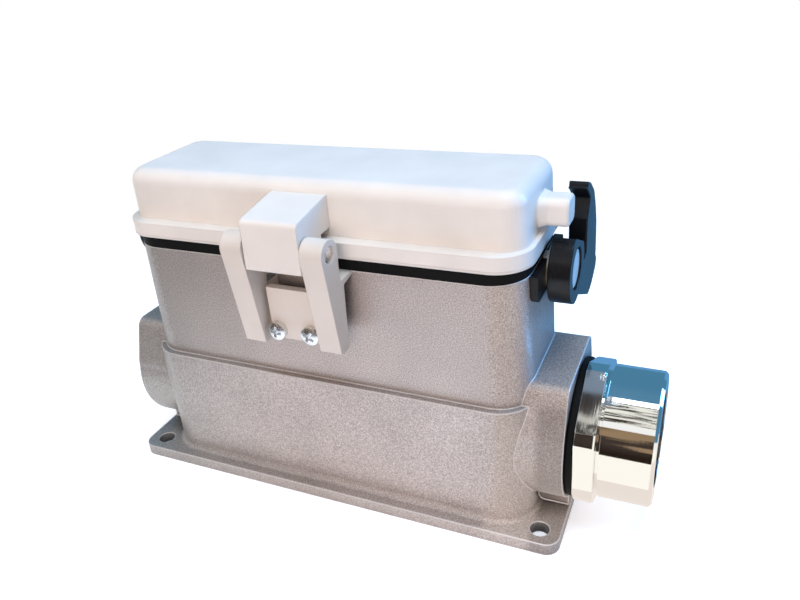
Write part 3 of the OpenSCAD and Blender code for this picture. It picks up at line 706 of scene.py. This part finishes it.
# %% Witness line
def line_tree():
    """A thin bead round a rim."""
    tree, given, links = tree_with("line_round_a_rim", [
        ("Long", "Float"), ("Wide", "Float"), ("Corner", "Float"), ("Thick", "Float"), ("Place", "Vector")])
    rim = rounded_rectangle(tree, given["Long"], given["Wide"], given["Corner"], 14)
    bead = swept(tree, moved(tree, rim, given["Place"]), circle(tree, given["Thick"], 8))
    return end_tree(tree, given, bead)


seal_low, seal_high = (Vector(v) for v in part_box("rim_seal"))
lip_over_x, lip_over_y, lip_corner = 0.00125, 0.00075, 0.0099
line_thick, line_over_seal = 0.00007, 0.0007
grown("cover_witness_line", line_tree(), {
    "Long": seal_high.x - seal_low.x + 2*lip_over_x, "Wide": seal_high.y - seal_low.y + 2*lip_over_y,
    "Corner": lip_corner, "Thick": line_thick, "Place": Vector((0, 0, seal_high.z + line_over_seal)),
    "Finish": cover_plastic}, "cover_body")

# %% [markdown]
# ### Contact collars
# Each contact hole of the insert has a raised collar that guides the pin of the mating connector. Two rows
# of points carry one collar each.

# %% Collars in rows
def collar_tree():
    """Round collars on two rows of points."""
    tree, given, links = tree_with("rows_of_collars", [
        ("Count", "Int"), ("First", "Vector"), ("Step", "Vector"), ("Row", "Vector"), ("Radius", "Float"),
        ("Thick", "Float")])
    row = row_of_points(tree, given)
    both = joined(tree, row, moved(tree, row, given["Row"]))
    collar = swept(tree, circle(tree, given["Radius"], 32), circle(tree, given["Thick"], 8))
    return end_tree(tree, given, set_down(tree, collar, both))


contact_low, contact_high = (Vector(v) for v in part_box("socket_contacts"))
_, insert_high = (Vector(v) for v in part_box("contact_insert"))
count, contact_r, collar_gap, collar_thick = 12, 0.0023, 0.00045, 0.0004
first_x, last_x = contact_low.x + contact_r, contact_high.x - contact_r
row_y = contact_high.y - contact_r
grown("contact_collars", collar_tree(), {
    "Count": count, "First": Vector((first_x, row_y, insert_high.z)),
    "Step": Vector(((last_x - first_x)/(count - 1), 0, 0)), "Row": Vector((0, -2*row_y, 0)),
    "Radius": contact_r + collar_gap, "Thick": collar_thick, "Finish": insert_plastic},
    "base")

# %% [markdown]
# ### Ribs under the cover
# The inside of a long moulded lid is stiffened by thin cross ribs. They show when the cover is swung open.
# One rounded rib, an outline filled and pushed out to its thickness, is set down at even steps.

# %% Ribs
def rib_tree():
    """Upright ribs with rounded corners, in a row."""
    tree, given, links = tree_with("row_of_ribs", [
        ("Count", "Int"), ("First", "Vector"), ("Step", "Vector"), ("Wide", "Float"), ("Deep", "Float"),
        ("Thick", "Float"), ("Corner", "Float")])
    fill = tree.nodes.new("GeometryNodeFillCurve")
    fill.mode = "NGONS"
    outline = rounded_rectangle(tree, given["Deep"], given["Wide"], given["Corner"], 6)
    links.new(outline, fill.inputs["Curve"])
    push, back = tree.nodes.new("GeometryNodeExtrudeMesh"), tree.nodes.new("GeometryNodeFlipFaces")
    links.new(fill.outputs["Mesh"], push.inputs["Mesh"])
    links.new(given["Thick"], push.inputs["Offset Scale"])
    links.new(fill.outputs["Mesh"], back.inputs["Mesh"])
    welded = tree.nodes.new("GeometryNodeMergeByDistance")
    links.new(joined(tree, push.outputs["Mesh"], back.outputs["Mesh"]), welded.inputs["Geometry"])
    upright = moved(tree, welded.outputs["Geometry"], turn=quarter_turn)
    return end_tree(tree, given, set_down(tree, upright, row_of_points(tree, given)), smooth=False)


_, cover_high = (Vector(v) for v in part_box("cover"))
dome_wide, cover_wall, sunk = 0.0358, 0.0024, 0.0004
rib_count, rib_step, rib_thick, rib_deep, rib_corner = 5, 0.02, 0.0012, 0.0035, 0.0015
first_rib_x = -0.0404
rib_top = cover_high.z - cover_wall + sunk
grown("cover_ribs", rib_tree(), {
    "Count": rib_count, "First": Vector((first_rib_x, 0, rib_top - rib_deep/2)),
    "Step": Vector((rib_step, 0, 0)), "Wide": dome_wide - 2*cover_wall + sunk, "Deep": rib_deep,
    "Thick": rib_thick, "Corner": rib_corner, "Finish": cover_plastic}, "cover_body")

# %% [markdown]
# ## The gland's nut
# The gland's hexagon is turned before it is plated, so its corners are rounded to a cylinder and both its
# faces are chamfered. The CAD body has a plain hexagon. The steps of its outline are read from the solid,
# and a new body is carried round the axis through them, with a hexagon that stops at the turned size.

# %% Turned nut
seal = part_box("gland_seal_ring")
gland_z = (seal[0][2] + seal[1][2])/2
sixth = math.pi/3


def outline_steps(mesh):
    """The (x, radius) points of a body that is turned round the gland's axis, from bore to bore."""
    at = {}
    for v in mesh.vertices:
        at.setdefault(round(v.co.x, 4), set()).add(round(math.hypot(v.co.y, v.co.z - gland_z), 4))
    places = sorted(at)
    bore, level = min(at[places[0]]), max(at[places[0]])
    steps = [(places[0], bore), (places[0], level)]
    for x in places[1:-1]:
        other = max(at[x], key=lambda radius: abs(radius - level))
        steps += [(x, level), (x, other)]
        level = other
    return steps + [(places[-1], level), (places[-1], bore)]


def nut_rings(steps, hexagon_r, reach, chamfer):
    """Rings of the body as (x, radius, None), and of its hexagon as (x, None, largest radius)."""
    nut_start = min(x for x, radius in steps if radius == hexagon_r)
    rings = []
    for x, radius in steps:
        if radius < hexagon_r:
            rings.append((x, radius, None))
        elif x == nut_start:
            rings += [(x, None, reach - chamfer/2), (x + chamfer/2, None, reach)]
        else:
            rings += [(x - chamfer, None, reach), (x, None, reach - chamfer)]
    return rings


def turned_nut(source, grow, reach, chamfer, flat_steps=18, corner_steps=5):
    """The body with its hexagon grown by a factor and turned down to the radius reach."""
    steps = outline_steps(source)
    hexagon_r = max(radius for _, radius in steps)
    first_corner = next(math.atan2(v.co.z - gland_z, v.co.y) for v in source.vertices
                        if math.hypot(v.co.y, v.co.z - gland_z) > hexagon_r - 0.0001)
    rings = nut_rings(steps, hexagon_r, reach, chamfer)
    flat_r = hexagon_r*grow*math.cos(sixth/2)
    half_flat = math.acos(flat_r/reach)
    offsets = [half_flat*(2*i/flat_steps - 1) for i in range(flat_steps)]
    offsets += [half_flat + (sixth - 2*half_flat)*i/corner_steps for i in range(corner_steps)]
    turns = [(side*sixth + offset, offset) for side in range(6) for offset in offsets]
    mesh_maker = bmesh.new()
    corners = []
    for x, radius, most in rings:
        for turn, offset in turns:
            r = radius if most is None else min(most, flat_r/math.cos(min(offset, half_flat)))
            a = first_corner + sixth/2 + turn
            corners.append(mesh_maker.verts.new((x, r*math.cos(a), gland_z + r*math.sin(a))))
    around, along = len(turns), len(rings)
    for i in range(along):
        for j in range(around):
            here, after = i*around, (i + 1) % along*around
            right = (j + 1) % around
            face = mesh_maker.faces.new([corners[here + j], corners[here + right],
                                         corners[after + right], corners[after + j]])
            face.smooth = not (rings[i][2] == reach and j % len(offsets) < flat_steps)
    bmesh.ops.recalc_face_normals(mesh_maker, faces=mesh_maker.faces[:])
    mesh = bpy.data.meshes.new("gland_nut_body")
    mesh_maker.to_mesh(mesh)
    mesh_maker.free()
    mesh.set_sharp_from_angle(angle=math.radians(6))
    print("turned nut:", along, "rings of", around, "points")
    return mesh


hexagon_grow, turned_reach, nut_chamfer = 1.045, 0.0212, 0.0005
nut = bpy.data.objects.new("gland_nut_body", turned_nut(parts["gland_body"].data, hexagon_grow,
                                                        turned_reach, nut_chamfer))
bpy.context.scene.collection.objects.link(nut)
nut.data.materials.append(gland_chrome)
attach(nut, "base")
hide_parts("gland_body")

# %% [markdown]
# ## The gland's ring
# The ring between gland and boss is squeezed rubber: its rim bulges and its edges are round. A rounded
# section carried round a circle makes it, a little smaller than the CAD ring that it stands for.

# %% Squeezed ring
def ring_tree():
    """A ring of rounded section round the x axis."""
    tree, given, links = tree_with("squeezed_ring", [
        ("Radius", "Float"), ("Deep", "Float"), ("Thick", "Float"), ("Corner", "Float"),
        ("Place", "Vector")])
    section = rounded_rectangle(tree, given["Deep"], given["Thick"], given["Corner"], 5)
    ring = swept(tree, circle(tree, given["Radius"], 128), section)
    return end_tree(tree, given, moved(tree, ring, given["Place"], quarter_turn))


ring_low, ring_high = (Vector(v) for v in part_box("gland_seal_ring"))
ring_inset, ring_deep, ring_corner, ring_sag = 0.0004, 0.0021, 0.0007, 0.0003
ring_r = (ring_high.z - ring_low.z)/2 - ring_inset
squeezed = grown("gland_squeezed_ring", ring_tree(), {
    "Radius": ring_r - ring_deep/2, "Deep": ring_deep, "Thick": ring_high.x - ring_low.x,
    "Corner": ring_corner, "Place": (ring_low + ring_high)/2 - Vector((0, 0, ring_sag)),
    "Finish": seal_rubber}, "base")
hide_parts("gland_seal_ring")
